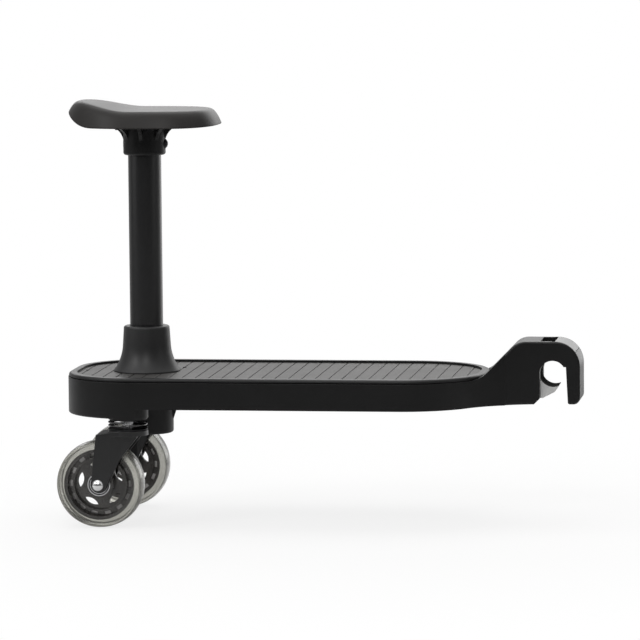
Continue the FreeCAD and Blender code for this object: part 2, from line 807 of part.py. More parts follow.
def make_pawl_spring():
    spring = coil(pawl_spring_radius - pawl_spring_wire / 2, pawl_spring_wire, pawl_spring_turns,
                  pawl_spring_pitch, "pawl_spring")
    spring.rotate(Vector(0, 0, 0), along_x, -90)
    spring.translate(pawl_pivot + along_y * (pawl_spring_pitch / 2))
    return spring


def make_release_lever():
    ears = lever_ears(lever_ear_radius, lever_ear_width)
    lever = fused([lever_cap(hook_nose_round, 0, half_hook - cheek_lip - lever_gap)] + ears)
    return lever.cut(lever_axle(lever_pin_radius + running_fit))


def lever_axle(radius):
    pin_half = lever_ear_spread + lever_ear_width
    return rod(radius, lever_pivot - along_y * pin_half, along_y, 2 * pin_half)


def make_lever_pin():
    return lever_axle(lever_pin_radius)


def make_post_socket():
    flange_bottom = plate_bottom - socket_flange
    cup = rod(socket_radius, Vector(post_x, 0, socket_bottom), along_z, plate_bottom - socket_bottom)
    rim = [edge for edge in cup.Edges if edge.BoundBox.ZMax < socket_bottom + near]
    cup = cup.makeFillet(socket_round, rim)
    flange = rod(socket_flange_radius, Vector(post_x, 0, flange_bottom), along_z, socket_flange)
    riser = rod(socket_tube_radius, Vector(post_x, 0, plate_bottom), along_z, socket_top - plate_bottom)
    fin_low = mat_z - socket_fin_foot
    fin_points = [side(socket_tube_radius, fin_low), side(socket_radius, fin_low),
                  side(socket_fin_reach, plate_bottom), side(socket_tube_radius, plate_bottom)]
    fins = []
    for turn in range(4):
        fin = across(rounded_face(fin_points, [0] * 4), socket_fin_wall / 2)
        fin.rotate(Vector(0, 0, 0), along_z, 90 * turn)
        fin.translate(Vector(post_x, 0, 0))
        fins.append(fin)
    socket = fused([cup, flange, riser] + fins)
    core = ring(socket_radius - socket_wall, socket_tube_radius, Vector(post_x, 0, socket_bottom), along_z,
                flange_bottom - socket_floor - socket_bottom)
    bore = rod(bore_radius, Vector(post_x, 0, post_bottom), along_z, socket_top - post_bottom)
    socket = socket.cut(core).cut(bore).cut(plug_key(slide_fit))
    for x, y in circle_places(socket_screw_circle, socket_screw_count, socket_screw_angle):
        socket = socket.cut(rod(socket_screw_radius, Vector(x, y, flange_bottom), along_z, socket_flange))
    return socket


# Key that stops the saddle turning: a bar across the foot of the post
def plug_key(gap):
    half = plug_key_width / 2 + gap
    reach = post_radius - plug_key_inset + gap
    low = post_bottom - plug_key_height - gap
    return block(post_x - reach, post_x + reach, -half, half, low, post_bottom)


def make_socket_screws():
    screws = []
    low = plate_bottom - socket_flange - socket_screw_head_height
    for x, y in circle_places(socket_screw_circle, socket_screw_count, socket_screw_angle):
        head = rod(socket_screw_head_radius, Vector(x, y, low), along_z, socket_screw_head_height)
        length = plate_top + cover_grip - low
        screws.append(fused([head, rod(socket_screw_radius, Vector(x, y, low), along_z, length)]))
    return Part.makeCompound(screws)


def make_post_collar():
    top = mat_z + collar_height
    waist = mat_z + collar_waist_height
    flare = mat_z + collar_flare_height
    edge = mat_z + collar_foot_edge

    def collar_profile(inset, foot, crown):
        return drawn_face(side(0, foot), [
            (side(collar_foot_radius - inset, foot),), (side(collar_foot_radius - inset, edge),),
            (side(collar_flare_radius - inset, flare), side(collar_waist_radius - inset, waist)),
            (side(collar_top_radius - inset, crown),), (side(0, crown),), (side(0, foot),)])

    body = spun(collar_profile(0, mat_z, top), post_x, 0)
    rim = [item for item in body.Edges
           if item.BoundBox.ZMin > top - near and item.BoundBox.XLength > collar_top_radius]
    body = body.makeFillet(collar_round, rim)
    body = body.cut(spun(collar_profile(collar_wall, mat_z - 1, top - collar_grip), post_x, 0))
    return body.cut(rod(bore_radius, Vector(post_x, 0, mat_z - 1), along_z, collar_height + 2))


def make_seat_post():
    top = bracket_top - bracket_flange
    start = Vector(post_x, 0, post_bottom + plug_flange)
    post = ring(post_radius, post_radius - post_wall, start, along_z, top - start.z)
    bolt_z = bracket_top - seat_bolt_drop
    start = Vector(post_x - 2 * post_radius, 0, bolt_z)
    return post.cut(rod(seat_bolt_radius, start, along_x, 4 * post_radius))


def make_post_end_plug():
    flange = rod(post_radius, Vector(post_x, 0, post_bottom), along_z, plug_flange)
    body = rod(post_radius - post_wall, Vector(post_x, 0, post_bottom + plug_flange), along_z, plug_length)
    inside = Vector(post_x, 0, post_bottom + 2 * plug_flange)
    hollow = rod(post_radius - 2 * post_wall, inside, along_z, plug_length)
    return fused([flange, body.cut(hollow), plug_key(0)])


def make_seat_bracket():
    low = bracket_top - bracket_depth
    flange_bottom = bracket_top - bracket_flange
    tube_body = rod(bracket_tube_radius, Vector(post_x, 0, low), along_z, bracket_depth)
    foot = [edge for edge in tube_body.Edges if edge.BoundBox.ZMax < low + near]
    tube_body = tube_body.makeFillet(bracket_round, foot)
    flange = rod(bracket_flare_radius, Vector(post_x, 0, flange_bottom), along_z, bracket_flange)
    foot_z = bracket_top - bracket_gusset_foot_drop
    waist_z = bracket_top - bracket_gusset_waist_drop
    start = side(post_radius, foot_z)
    gusset = across(drawn_face(start, [
        (side(bracket_gusset_foot_radius, foot_z),),
        (side(bracket_gusset_waist_radius, waist_z), side(bracket_gusset_reach, flange_bottom)),
        (side(post_radius, flange_bottom),), (start,)]), bracket_gusset_wall / 2)
    gussets = []
    for turn in range(bracket_gusset_count):
        fin = gusset.copy()
        fin.rotate(Vector(0, 0, 0), along_z, 360 * turn / bracket_gusset_count)
        fin.translate(Vector(post_x, 0, 0))
        gussets.append(fin)
    bracket = fused([tube_body, flange] + gussets)
    bracket = bracket.cut(rod(post_radius, Vector(post_x, 0, low), along_z, flange_bottom - low))
    axis = Vector(post_x, 0, bracket_top - seat_bolt_drop)
    bolt_room = rod(seat_bolt_radius, axis - along_x * (2 * post_radius), along_x, 4 * post_radius)
    nut_room = hexagon(seat_nut_flats, axis - along_x * post_radius, Vector(-1, 0, 0), post_radius)
    head_start = axis + along_x * (bracket_tube_radius - seat_bolt_sink)
    head_room = rod(seat_bolt_head_radius + part_gap, head_start, along_x, post_radius)
    bracket = bracket.cut(bolt_room).cut(nut_room).cut(head_room)
    for x, y in circle_places(seat_screw_circle, seat_screw_count, seat_screw_angle):
        bracket = bracket.cut(rod(seat_screw_radius, Vector(x, y, flange_bottom), along_z, bracket_flange))
    return bracket


def make_seat_bolt():
    bolt_z = bracket_top - seat_bolt_drop
    face_x = post_x + bracket_tube_radius - seat_bolt_sink
    head = domed_head(seat_bolt_head_radius, seat_bolt_head_height, Vector(face_x, 0, bolt_z), along_x)
    end_x = post_x - post_radius - seat_nut_height
    shank = rod(seat_bolt_radius, Vector(end_x, 0, bolt_z), along_x, face_x - end_x + seat_bolt_sink)
    return fused([head, shank])


def make_seat_nut():
    bolt_z = bracket_top - seat_bolt_drop
    start = Vector(post_x - post_radius, 0, bolt_z)
    nut = hexagon(seat_nut_flats, start, Vector(-1, 0, 0), seat_nut_height)
    return nut.cut(rod(seat_bolt_radius, start + along_x, Vector(-1, 0, 0), seat_nut_height + 2))


def seat_plate(gap, z0, z1):
    half_x = seat_base_length / 2 + gap
    half_y = seat_base_width / 2 + gap
    corners = [Vector(post_x - half_x, -half_y, z0), Vector(post_x + half_x, -half_y, z0),
               Vector(post_x + half_x, half_y, z0), Vector(post_x - half_x, half_y, z0)]
    return rounded_face(corners, [seat_base_corner + gap] * 4).extrude(Vector(0, 0, z1 - z0))


def make_seat_base():
    low = bracket_top
    base = seat_plate(0, low, low + seat_base_thickness)
    for x, y in circle_places(seat_screw_circle, seat_screw_count, seat_screw_angle):
        base = base.cut(rod(seat_screw_radius, Vector(x, y, low), along_z, seat_screw_grip))
    return base


def make_seat_screws():
    screws = []
    low = bracket_top - bracket_flange - seat_screw_head_height
    for x, y in circle_places(seat_screw_circle, seat_screw_count, seat_screw_angle):
        head = rod(seat_screw_head_radius, Vector(x, y, low), along_z, seat_screw_head_height)
        shank = rod(seat_screw_radius, Vector(x, y, low), along_z,
                    seat_screw_head_height + bracket_flange + seat_screw_grip)
        screws.append(fused([head, shank]))
    return Part.makeCompound(screws)


# One cross section of the pad: flat underside, flared sides, round shoulders and a crowned top
def pad_section(x, low_half, high_half, low, high):
    rise = min(pad_shoulder, (high - low) * pad_shoulder_share)
    place = post_x + x
    top = bracket_top + high
    side_top = Vector(place, high_half, top - rise)
    shoulder = Vector(place, high_half - rise * 0.3, top - rise * 0.3)
    shoulder_end = Vector(place, high_half - rise, top)
    crown = Vector(place, 0, top + pad_crown)
    corner = Vector(place, low_half, bracket_top + low)

    def mirrored(point):
        return Vector(point.x, -point.y, point.z)

    edges = [Part.makeLine(mirrored(corner), corner), Part.makeLine(corner, side_top),
             Part.Arc(side_top, shoulder, shoulder_end).toShape(),
             Part.Arc(shoulder_end, crown, mirrored(shoulder_end)).toShape(),
             Part.Arc(mirrored(shoulder_end), mirrored(shoulder), mirrored(side_top)).toShape(),
             Part.makeLine(mirrored(side_top), mirrored(corner))]
    return Part.Wire(edges)


def make_seat_pad():
    pad = Part.makeLoft([pad_section(*station) for station in pad_stations], True, False)
    low = bracket_top - bracket_flange
    return pad.cut(seat_plate(part_gap, low, bracket_top + seat_base_thickness + part_gap))


def make_bush(cx, cy):
    body = rod(bush_radius, Vector(cx, cy, boss_bottom), along_z, boss_height)
    flange = rod(bush_flange_radius, Vector(cx, cy, boss_top), along_z, bush_flange)
    bush = fused([body, flange])
    return bush.cut(rod(stem_radius + running_fit, Vector(cx, cy, boss_bottom - 1), along_z, boss_height + 4))


def make_stem(cx, cy):
    low = crown_bottom - part_gap - stem_head_height
    clip_bottom = boss_top + bush_flange + part_gap
    top = clip_bottom + clip_height + stem_top_room
    head = rod(stem_head_radius, Vector(cx, cy, low), along_z, stem_head_height)
    return fused([head, rod(stem_radius, Vector(cx, cy, low), along_z, top - low)])


def make_stem_clip(cx, cy):
    clip_bottom = boss_top + bush_flange + part_gap
    return ring(clip_radius, stem_radius, Vector(cx, cy, clip_bottom), along_z, clip_height)


def make_spring(cx, cy, name):
    height = spring_length - 2 * spring_gap
    pitch = (height - spring_wire) / spring_turns
    spring = coil(spring_radius, spring_wire, spring_turns, pitch, name)
    spring.translate(Vector(cx, cy, spring_seat_top + spring_gap))
    return spring


def make_spring_seat(cx, cy):
    return ring(spring_seat_radius, stem_radius, Vector(cx, cy, thrust_top), along_z, spring_seat_height)


def make_thrust_washer(cx, cy):
    return ring(thrust_radius, stem_radius + running_fit, Vector(cx, cy, crown_top), along_z,
                thrust_height - running_fit)


# Outlines of a fork leg seen from the side: the web and the thicker pad down its rear
def leg_faces(cx):
    rear = cx - fork_rear_reach
    front = cx + leg_front_x
    pad_front = cx - leg_pad_front
    eye_front = axle_x + leg_eye_radius
    eye_rear = axle_x - leg_eye_radius
    eye_low = axle_z - leg_eye_radius
    web = [side(rear, leg_top), side(front, leg_top), side(front, leg_top - leg_front_z),
           side(cx + leg_low_x, leg_top - leg_low_z), side(eye_front, eye_low), side(eye_rear, eye_low),
           side(eye_rear, axle_z)]
    pad = [side(rear, leg_top), side(pad_front, leg_top), side(pad_front, axle_z + leg_pad_drop),
           side(eye_front, axle_z - leg_pad_heel), side(axle_x, eye_low), side(eye_rear, axle_z)]
    return rounded_face(web, [0, 0] + list(leg_rounds)), rounded_face(pad, [0, 0] + list(leg_pad_rounds))


# An outer edge of the fork's sloping top, along its rear and both sides
def is_hood_rim(edge, cx):
    box = edge.BoundBox
    on_side = box.YLength < near and box.XLength > near
    on_rear = box.YLength > near and box.XMax < cx - fork_rear_reach + near
    return box.ZMin > hood_top - near and (on_side or on_rear)


# Fork for a wheel that trails behind the swivel
def make_fork(cx, cy):
    crown = rod(crown_radius, Vector(cx, cy, crown_bottom), along_z, crown_height)
    rear_x = cx - fork_rear_reach
    outline = [side(rear_x, crown_bottom), side(rear_x, hood_top), side(cx - hood_start, crown_top),
               side(cx, crown_top), side(cx, crown_bottom)]
    hood = across(rounded_face(outline, [0] * len(outline)), leg_outside)
    hood.translate(Vector(0, cy, 0))
    rims = [edge for edge in hood.Edges if is_hood_rim(edge, cx)]
    hood = hood.makeFillet(crown_round, rims)
    web_face, pad_face = leg_faces(cx)
    land = wheel_width / 2 - bearing_set + leg_eye_clear
    shapes = [crown, hood]
    for way in (-1, 1):
        inner = Vector(0, cy + way * leg_inside, 0)
        web = web_face.copy()
        web.translate(inner)
        shapes.append(web.extrude(Vector(0, way * fork_web, 0)))
        pad = pad_face.copy()
        pad.translate(inner)
        shapes.append(pad.extrude(Vector(0, way * (fork_web + fork_pad), 0)))
        pad_x = cx - leg_pad_front
        web_y = inner.y + way * fork_web
        corners = [Vector(pad_x, web_y, leg_top), Vector(pad_x + fork_pad_bevel, web_y, leg_top),
                   Vector(pad_x, web_y + way * fork_pad, leg_top)]
        bevel = rounded_face(corners, [0] * 3).extrude(Vector(0, 0, axle_z - leg_top))
        shapes.append(bevel.common(web.extrude(Vector(0, way * (fork_web + fork_pad), 0))))
        eye = Vector(axle_x, cy + way * land, axle_z)
        shapes.append(rod(spacer_radius, eye, along_y * way, leg_inside - land + fork_web))
    fork = fused(shapes)
    below = Vector(cx, cy, crown_bottom - 1)
    fork = fork.cut(rod(stem_radius + running_fit, below, along_z, crown_height + 2))
    return fork.cut(rod(axle_radius, Vector(axle_x, cy - leg_outside, axle_z), along_y, 2 * leg_outside))


def make_axle_bolt(cy, outer):
    start = Vector(axle_x, cy + outer * leg_outside, axle_z)
    head = domed_head(axle_head_radius, axle_head_height, start, along_y * outer)
    end = start - along_y * (outer * (2 * leg_outside + axle_nut_height + axle_end))
    shank = rod(axle_radius, end, along_y * outer, (start - end).Length + axle_head_height / 2)
    return fused([head, shank])


def make_axle_nut(cy, outer):
    start = Vector(axle_x, cy - outer * leg_outside, axle_z)
    nut = hexagon(axle_nut_flats, start, along_y * -outer, axle_nut_height)
    return nut.cut(rod(axle_radius, start + along_y * outer, along_y * -outer, axle_nut_height + 2))


def wheel_at(cy, shape):
    shape.rotate(Vector(0, 0, 0), along_x, 90)
    shape.translate(Vector(axle_x, cy, axle_z))
    return shape


def make_bearings(cy):
    both = []
    for way in (-1, 1):
        outer_face = wheel_width / 2 - bearing_set
        start = outer_face - bearing_width if way > 0 else -outer_face
        race = ring(bearing_radius, axle_radius + running_fit, Vector(0, 0, start), along_z, bearing_width)
        shield_z = outer_face - bearing_shield_depth if way > 0 else -outer_face
        shield = ring(bearing_radius - bearing_land / 2, axle_radius + bearing_land, Vector(0, 0, shield_z),
                      along_z, bearing_shield_depth)
        both.append(race.cut(shield))
    return wheel_at(cy, Part.makeCompound(both))


def make_spacer(cy):
    width = wheel_width - 2 * (bearing_set + bearing_width)
    return wheel_at(cy, centred_ring(spacer_radius, axle_radius + running_fit, width))


def centred_ring(outer, inner, width):
    return ring(outer, inner, Vector(0, 0, -width / 2), along_z, width)


def make_hub(cy):
    barrel_width = wheel_width - 2 * bearing_set
    hub = fused([centred_ring(tyre_seat_radius, hub_rim_inner, hub_rim_width),
                 centred_ring(hub_ring_outer, hub_ring_inner, hub_ring_width),
                 centred_ring(hub_rim_inner, hub_barrel_radius, hub_web),
                 centred_ring(hub_barrel_radius, spacer_radius + part_gap, barrel_width)])
    cuts = []
    for turn in range(hub_window_count):
        for low, high in ((window_pane / 2, hub_web), (-hub_web, -window_pane / 2)):
            hole = block(window_radius - window_short / 2, window_radius + window_short / 2,
                         -window_long / 2, window_long / 2, low, high)
            hole.rotate(Vector(0, 0, 0), along_z, 360 * turn / hub_window_count)
            cuts.append(hole)
    bow = (gap_length ** 2 + gap_width ** 2) / (4 * gap_width)
    for turn in range(hub_gap_count):
        offset = bow - gap_width / 2
        lens = rod(bow, Vector(gap_radius - offset, 0, -hub_web), along_z, 2 * hub_web)
        lens = lens.common(rod(bow, Vector(gap_radius + offset, 0, -hub_web), along_z, 2 * hub_web))
        lens.rotate(Vector(0, 0, 0), along_z, gap_start_angle + 360 * turn / hub_gap_count)
        cuts.append(lens)
    hub = hub.cut(Part.makeCompound(cuts))
    inner = wheel_width / 2 - bearing_set - bearing_width
    for start in (inner, -barrel_width / 2):
        hub = hub.cut(rod(bearing_radius, Vector(0, 0, start), along_z, bearing_width))
    return wheel_at(cy, hub)


def make_tyre(cy):
    half = wheel_width / 2
    seat = tyre_seat_width / 2
    tread = half - tyre_tread_inset
    bow_radius = tyre_tread_radius - (tyre_tread_radius - tyre_shoulder_radius) * tyre_shoulder_bow
    bow = half - (half - tread) * tyre_shoulder_bow
    profile = drawn_face(side(tyre_seat_radius, -seat), [
        (side(tyre_shoulder_radius, -half),),
        (side(bow_radius, -bow), side(tyre_tread_radius, -tread)),
        (side(wheel_radius, 0), side(tyre_tread_radius, tread)),
        (side(bow_radius, bow), side(tyre_shoulder_radius, half)),
        (side(tyre_seat_radius, seat),), (side(tyre_seat_radius, -seat),)])
    return wheel_at(cy, spun(profile, 0, 0))


parts = {
    "deck_frame": make_deck_frame(),
    "deck_screws": make_deck_screws(),
    "deck_cover": make_deck_cover(),
    "standing_mat": make_standing_mat(),
    "mat_studs": make_mat_studs(),
    "tow_hook": make_tow_hook(),
    "hook_bolts": make_hook_bolts(),
    "latch_pawl": make_latch_pawl(),
    "pawl_pin": make_pawl_pin(),
    "pawl_spring": make_pawl_spring(),
    "release_lever": make_release_lever(),
    "lever_pin": make_lever_pin(),
    "post_socket": make_post_socket(),
    "socket_screws": make_socket_screws(),
    "post_collar": make_post_collar(),
    "seat_post": make_seat_post(),
    "post_end_plug": make_post_end_plug(),
    "seat_bracket": make_seat_bracket(),
    "seat_bolt": make_seat_bolt(),
    "seat_nut": make_seat_nut(),
    "seat_base": make_seat_base(),
    "seat_screws": make_seat_screws(),
    "seat_pad": make_seat_pad(),
}

for label, outer in (("right", -1), ("left", 1)):
    y = outer * swivel_y
    parts[label + "_bush"] = make_bush(swivel_x, y)
    parts[label + "_stem"] = make_stem(swivel_x, y)
    parts[label + "_stem_clip"] = make_stem_clip(swivel_x, y)
    parts[label + "_spring"] = make_spring(swivel_x, y, label + "_spring")
    parts[label + "_spring_seat"] = make_spring_seat(swivel_x, y)
    parts[label + "_thrust_washer"] = make_thrust_washer(swivel_x, y)
    parts[label + "_fork"] = make_fork(swivel_x, y)
    parts[label + "_axle_bolt"] = make_axle_bolt(y, outer)
    parts[label + "_axle_nut"] = make_axle_nut(y, outer)
    parts[label + "_bearings"] = make_bearings(y)
    parts[label + "_spacer"] = make_spacer(y)
    parts[label + "_hub"] = make_hub(y)
    parts[label + "_tyre"] = make_tyre(y)

os.makedirs("parts", exist_ok=True)
for name, shape in parts.items():
    solids = shape.Solids
    print(name, len(solids), "solid(s), valid", shape.isValid(), "volume %.1f" % shape.Volume)
    shape.exportStep("parts/" + name + ".step")
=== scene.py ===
import math
import bmesh
import bpy
from mathutils import Matrix, Vector


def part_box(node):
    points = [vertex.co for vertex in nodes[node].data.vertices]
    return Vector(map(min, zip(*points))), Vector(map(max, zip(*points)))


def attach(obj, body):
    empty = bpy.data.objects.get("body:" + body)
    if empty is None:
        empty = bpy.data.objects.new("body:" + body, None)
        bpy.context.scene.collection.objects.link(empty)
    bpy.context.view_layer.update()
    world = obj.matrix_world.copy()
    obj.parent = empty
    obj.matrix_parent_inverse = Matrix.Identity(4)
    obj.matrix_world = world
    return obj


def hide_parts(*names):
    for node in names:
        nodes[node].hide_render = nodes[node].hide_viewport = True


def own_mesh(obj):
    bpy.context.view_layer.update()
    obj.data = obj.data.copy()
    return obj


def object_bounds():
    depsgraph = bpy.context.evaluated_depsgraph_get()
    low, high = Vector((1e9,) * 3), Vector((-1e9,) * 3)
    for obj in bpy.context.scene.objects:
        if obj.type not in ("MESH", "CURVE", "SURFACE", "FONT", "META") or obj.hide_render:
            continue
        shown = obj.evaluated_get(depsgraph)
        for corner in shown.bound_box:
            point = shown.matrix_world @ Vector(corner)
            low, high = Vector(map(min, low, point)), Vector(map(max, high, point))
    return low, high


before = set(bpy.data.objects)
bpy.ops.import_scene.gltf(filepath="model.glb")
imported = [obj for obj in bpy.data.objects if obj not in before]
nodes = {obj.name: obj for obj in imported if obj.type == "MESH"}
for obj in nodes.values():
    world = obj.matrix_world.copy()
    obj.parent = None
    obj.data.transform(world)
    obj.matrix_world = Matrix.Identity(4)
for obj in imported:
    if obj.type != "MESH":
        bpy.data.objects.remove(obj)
cadBox = [list(corner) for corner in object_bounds()]
sides = ("right_", "left_")
mm = 0.001
print("frame loaded:", len(nodes), "nodes")


# the view of the photograph, from the rider's right and a little above
viewpoint = {
    "place": (0.3766, -4.3307, 0.4861),
    "yaw": 7.935, "drop": 5.721, "roll": -0.494,  # degrees
    "lens": 255.94, "sensor": 36.0, "farthest": 60.0,
}


def placeCamera(look):
    yaw, drop, roll = (math.radians(look[key]) for key in ("yaw", "drop", "roll"))
    ahead = Vector((-math.sin(yaw) * math.cos(drop), math.cos(yaw) * math.cos(drop), -math.sin(drop)))
    right = Vector((math.cos(yaw), math.sin(yaw), 0))
    up = right.cross(ahead)
    tiltedRight = right * math.cos(roll) + up * math.sin(roll)
    tiltedUp = up * math.cos(roll) - right * math.sin(roll)
    lens = bpy.data.cameras.new("photoCamera")
    lens.lens = look["lens"]
    lens.sensor_width = look["sensor"]
    lens.clip_end = look["farthest"]
    camera = bpy.data.objects.new("photoCamera", lens)
    bpy.context.scene.collection.objects.link(camera)
    turn = Matrix((tiltedRight, tiltedUp, -ahead)).transposed().to_4x4()
    camera.matrix_world = Matrix.Translation(look["place"]) @ turn
    bpy.context.scene.camera = camera


placeCamera(viewpoint)
print("camera placed")


# small helpers for node trees; a source is another node's output or a plain value
def feed(tree, socket, source):
    if isinstance(source, bpy.types.NodeSocket):
        tree.links.new(source, socket)
    elif socket.type == "RGBA":
        socket.default_value = (*source, 1)
    else:
        socket.default_value = source


def feedAll(tree, node, sources):
    for label, source in sources.items():
        feed(tree, node.inputs[label], source)


def addMath(tree, operation, *values, clamp=False):
    node = tree.nodes.new("ShaderNodeMath")
    node.operation = operation
    node.use_clamp = clamp
    for socket, value in zip(node.inputs, values):
        feed(tree, socket, value)
    return node.outputs[0]


def addNoise(tree, place, scale, detail, crispness=0.55):
    node = tree.nodes.new("ShaderNodeTexNoise")
    feedAll(tree, node, {"Vector": place, "Scale": scale, "Detail": detail, "Roughness": crispness})
    return node.outputs[0]


def addRange(tree, value, low, high, toLow=0.0, toHigh=1.0):
    node = tree.nodes.new("ShaderNodeMapRange")
    node.interpolation_type = "SMOOTHSTEP"
    feedAll(tree, node, {"Value": value, "From Min": low, "From Max": high})
    feedAll(tree, node, {"To Min": toLow, "To Max": toHigh})
    return node.outputs[0]


def addBlend(tree, share, first, second):
    node = tree.nodes.new("ShaderNodeMix")
    node.data_type = "RGBA"
    for place, source in ((0, share), (6, first), (7, second)):  # the sockets of the colour form
        feed(tree, node.inputs[place], source)
    return node.outputs[2]


def addBump(tree, look, height, normal=None):
    node = tree.nodes.new("ShaderNodeBump")
    feedAll(tree, node, {"Strength": look["bump"], "Distance": look["depth"], "Height": height})
    if normal is not None:
        feed(tree, node.inputs["Normal"], normal)
    return node.outputs[0]


def ownPlace(tree):
    return tree.nodes.new("ShaderNodeTexCoord").outputs["Object"]


def splitPlace(tree, place):
    node = tree.nodes.new("ShaderNodeSeparateXYZ")
    feed(tree, node.inputs[0], place)
    return node.outputs


# noise runs from 0 to 1, and this centres it on nought
def centred(tree, noise):
    return addMath(tree, "SUBTRACT", noise, 0.5)


def mottled(tree, base, wander, amount):
    node = tree.nodes.new("ShaderNodeHueSaturation")
    feedAll(tree, node, {"Color": base, "Value": addMath(tree, "MULTIPLY_ADD", wander, amount, 1.0)})
    return node.outputs[0]


def wandering(tree, level, wander, amount):
    return addMath(tree, "MULTIPLY_ADD", wander, amount, level, clamp=True)


# shared finishes are groups, and a group's inputs are named as in the looks that fill them
number = "NodeSocketFloat"
tint = "NodeSocketColor"
direction = "NodeSocketVector"


def startGroup(name, inputs, outputs):
    tree = bpy.data.node_groups.new(name, "ShaderNodeTree")
    for label, kind in inputs.items():
        tree.interface.new_socket(name=label, in_out="INPUT", socket_type=kind)
    for label, kind in outputs.items():
        tree.interface.new_socket(name=label, in_out="OUTPUT", socket_type=kind)
    return tree, tree.nodes.new("NodeGroupInput").outputs, tree.nodes.new("NodeGroupOutput").inputs


def useGroup(tree, group, look):
    node = tree.nodes.new("ShaderNodeGroup")
    node.node_tree = group
    for socket in node.inputs:
        feed(tree, socket, look[socket.name])
    return node.outputs


# moulded plastic: faint flow patches and the fine spark grain of the tool
grainBuild = {"patchDetail": 4.0, "grainDetail": 2.0, "speck": 0.08}


def buildMouldGrain(look):
    tree, given, result = startGroup(
        "mouldGrain",
        {"base": tint, "shift": number, "rough": number, "roughShift": number, "patches": number,
         "grain": number},
        {"colour": tint, "rough": number, "height": number})
    place = ownPlace(tree)
    patch = centred(tree, addNoise(tree, place, given["patches"], look["patchDetail"]))
    grain = addNoise(tree, place, given["grain"], look["grainDetail"])
    patchRough = wandering(tree, given["rough"], patch, given["roughShift"])
    feed(tree, result["colour"], mottled(tree, given["base"], patch, given["shift"]))
    feed(tree, result["rough"], wandering(tree, patchRough, centred(tree, grain), look["speck"]))
    feed(tree, result["height"], grain)
    return tree


# edges: a rounded normal for the highlight, and a mask for paler edges that are partly handled wear and
# partly a painted highlight
edgeBuild = {"samples": 6, "wear": 220.0, "wearDetail": 3.0}


def buildEdgeWearAndHighlight(look):
    tree, given, result = startGroup(
        "edgeWearAndHighlight", {"edge": number, "edgeGain": number}, {"mask": number, "normal": direction})
    bevel = tree.nodes.new("ShaderNodeBevel")
    bevel.samples = look["samples"]
    feed(tree, bevel.inputs["Radius"], given["edge"])
    facing = tree.nodes.new("ShaderNodeVectorMath")
    facing.operation = "DOT_PRODUCT"
    feed(tree, facing.inputs[0], bevel.outputs[0])
    feed(tree, facing.inputs[1], tree.nodes.new("ShaderNodeNewGeometry").outputs["Normal"])
    turned = addMath(tree, "SUBTRACT", 1.0, facing.outputs["Value"])
    worn = addNoise(tree, ownPlace(tree), look["wear"], look["wearDetail"])
    wornAndHighlitEdge = addMath(tree, "MULTIPLY", turned, given["edgeGain"])
    feed(tree, result["mask"], addMath(tree, "MULTIPLY", wornAndHighlitEdge, worn, clamp=True))
    feed(tree, result["normal"], bevel.outputs[0])
    return tree


# metal: fine rings left by turning, one after another along Y
turnedBuild = {"stretch": (0.15, 1.0, 0.15), "detail": 3.0}


def buildTurnedLines(look):
    tree, given, result = startGroup(
        "turnedLines",
        {"rough": number, "spread": number, "lines": number}, {"rough": number, "height": number})
    stretch = tree.nodes.new("ShaderNodeMapping")
    feedAll(tree, stretch, {"Vector": ownPlace(tree), "Scale": look["stretch"]})
    line = addNoise(tree, stretch.outputs[0], given["lines"], look["detail"])
    feed(tree, result["rough"], wandering(tree, given["rough"], centred(tree, line), given["spread"]))
    feed(tree, result["height"], line)
    return tree


# clear plastic: weld lines and slow ripples of the melt
meltBuild = {"slow": 55.0, "slowDetail": 2.0, "fine": 700.0, "fineDetail": 3.0}


def buildMeltRipple(look):
    tree, given, result = startGroup(
        "meltRipple",
        {"base": tint, "shift": number, "rough": number, "spread": number},
        {"colour": tint, "rough": number, "height": number})
    place = ownPlace(tree)
    slow = addNoise(tree, place, look["slow"], look["slowDetail"])
    fine = centred(tree, addNoise(tree, place, look["fine"], look["fineDetail"]))
    feed(tree, result["colour"], mottled(tree, given["base"], centred(tree, slow), given["shift"]))
    feed(tree, result["rough"], wandering(tree, given["rough"], fine, given["spread"]))
    feed(tree, result["height"], slow)
    return tree


# pebbled skin of rubber and foam: the height of small rounded cells
def buildPebbleSkin():
    tree, given, result = startGroup(
        "pebbleSkin", {"pebble": number, "pebbleSoft": number, "pebbleRise": number}, {"height": number})
    cells = tree.nodes.new("ShaderNodeTexVoronoi")
    cells.feature = "SMOOTH_F1"
    feedAll(tree, cells, {"Vector": ownPlace(tree), "Scale": given["pebble"]})
    feed(tree, cells.inputs["Smoothness"], given["pebbleSoft"])
    height = addMath(tree, "MULTIPLY", cells.outputs["Distance"], given["pebbleRise"])
    feed(tree, result["height"], height)
    return tree


# a ring about an axis along Y, between two distances from it, soft at both borders
def buildAxisRing():
    tree, given, result = startGroup(
        "axisRing",
        {"axisX": number, "axisZ": number, "low": number, "high": number, "blur": number}, {"mask": number})
    place = splitPlace(tree, ownPlace(tree))
    offX = addMath(tree, "SUBTRACT", place["X"], given["axisX"])
    offZ = addMath(tree, "SUBTRACT", place["Z"], given["axisZ"])
    squared = addMath(tree, "MULTIPLY_ADD", offX, offX, addMath(tree, "MULTIPLY", offZ, offZ))
    away = addMath(tree, "SQRT", squared)
    before = [addMath(tree, "SUBTRACT", given[border], given["blur"]) for border in ("low", "high")]
    after = [addMath(tree, "ADD", given[border], given["blur"]) for border in ("low", "high")]
    rise = addRange(tree, away, before[0], after[0])
    fall = addRange(tree, away, before[1], after[1], 1.0, 0.0)
    feed(tree, result["mask"], addMath(tree, "MULTIPLY", rise, fall))
    return tree


mouldGrain = buildMouldGrain(grainBuild)
edgeWearAndHighlight = buildEdgeWearAndHighlight(edgeBuild)
turnedLines = buildTurnedLines(turnedBuild)
meltRipple = buildMeltRipple(meltBuild)
pebbleSkin = buildPebbleSkin()
axisRing = buildAxisRing()
print("finish groups built")


# a material with its tree and shader, also to change a finished one
def reopen(material):
    tree = material.node_tree
    return material, tree, tree.nodes["Principled BSDF"]


